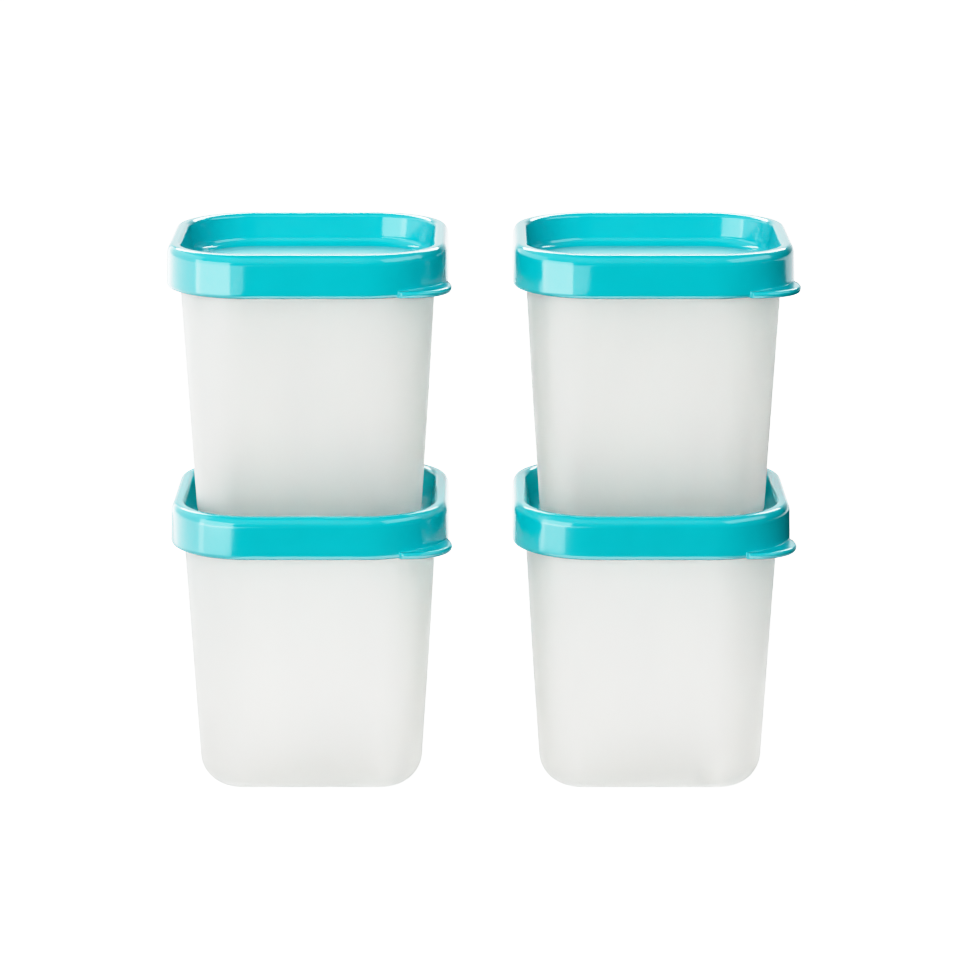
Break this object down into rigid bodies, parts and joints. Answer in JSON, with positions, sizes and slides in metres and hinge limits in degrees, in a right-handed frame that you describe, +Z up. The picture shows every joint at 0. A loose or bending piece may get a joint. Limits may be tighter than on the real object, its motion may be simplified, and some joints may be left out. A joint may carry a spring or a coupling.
{
  "type": "formula dispenser",
  "caption": "Square portion cups with press-on lids, stacked in pairs, for carrying measured milk formula or snacks.",
  "frame": {"origin": "on the table under the middle of the whole set, halfway between the two stacks", "axes": "+X from the left stack to the right stack, +Y to the back, away from the lids' tabs, +Z up"},
  "size_m": [0.2017, 0.09, 0.1787],
  "materials": {
    "frosted_polypropylene": "frosted, translucent, natural colour",
    "turquoise_polyethylene": "glossy moulded, opaque"
  },
  "bodies": {
    "left_lower_cup": {"left_lower_cup": "frosted_polypropylene"},
    "left_lower_lid": {"left_lower_lid": "turquoise_polyethylene"},
    "left_upper_cup": {"left_upper_cup": "frosted_polypropylene"},
    "left_upper_lid": {"left_upper_lid": "turquoise_polyethylene"},
    "right_lower_cup": {"right_lower_cup": "frosted_polypropylene"},
    "right_lower_lid": {"right_lower_lid": "turquoise_polyethylene"},
    "right_upper_cup": {"right_upper_cup": "frosted_polypropylene"},
    "right_upper_lid": {"right_upper_lid": "turquoise_polyethylene"}
  },
  "joints": [
    {"name": "left_lower_lid_lift", "type": "slide", "parent": "left_lower_cup", "child": "left_lower_lid", "axis": [0, 0, 1], "range_m": [0, 0.1]},
    {"name": "left_upper_cup_lift", "type": "slide", "parent": "left_lower_lid", "child": "left_upper_cup", "axis": [0, 0, 1], "range_m": [0, 0.1]},
    {"name": "left_upper_lid_lift", "type": "slide", "parent": "left_upper_cup", "child": "left_upper_lid", "axis": [0, 0, 1], "range_m": [0, 0.1]},
    {"name": "stacks_apart", "type": "slide", "parent": "left_lower_cup", "child": "right_lower_cup", "axis": [1, 0, 0], "range_m": [-0.015, 0.1]},
    {"name": "right_lower_lid_lift", "type": "slide", "parent": "right_lower_cup", "child": "right_lower_lid", "axis": [0, 0, 1], "range_m": [0, 0.1]},
    {"name": "right_upper_cup_lift", "type": "slide", "parent": "right_lower_lid", "child": "right_upper_cup", "axis": [0, 0, 1], "range_m": [0, 0.1]},
    {"name": "right_upper_lid_lift", "type": "slide", "parent": "right_upper_cup", "child": "right_upper_lid", "axis": [0, 0, 1], "range_m": [0, 0.1]}
  ]
}
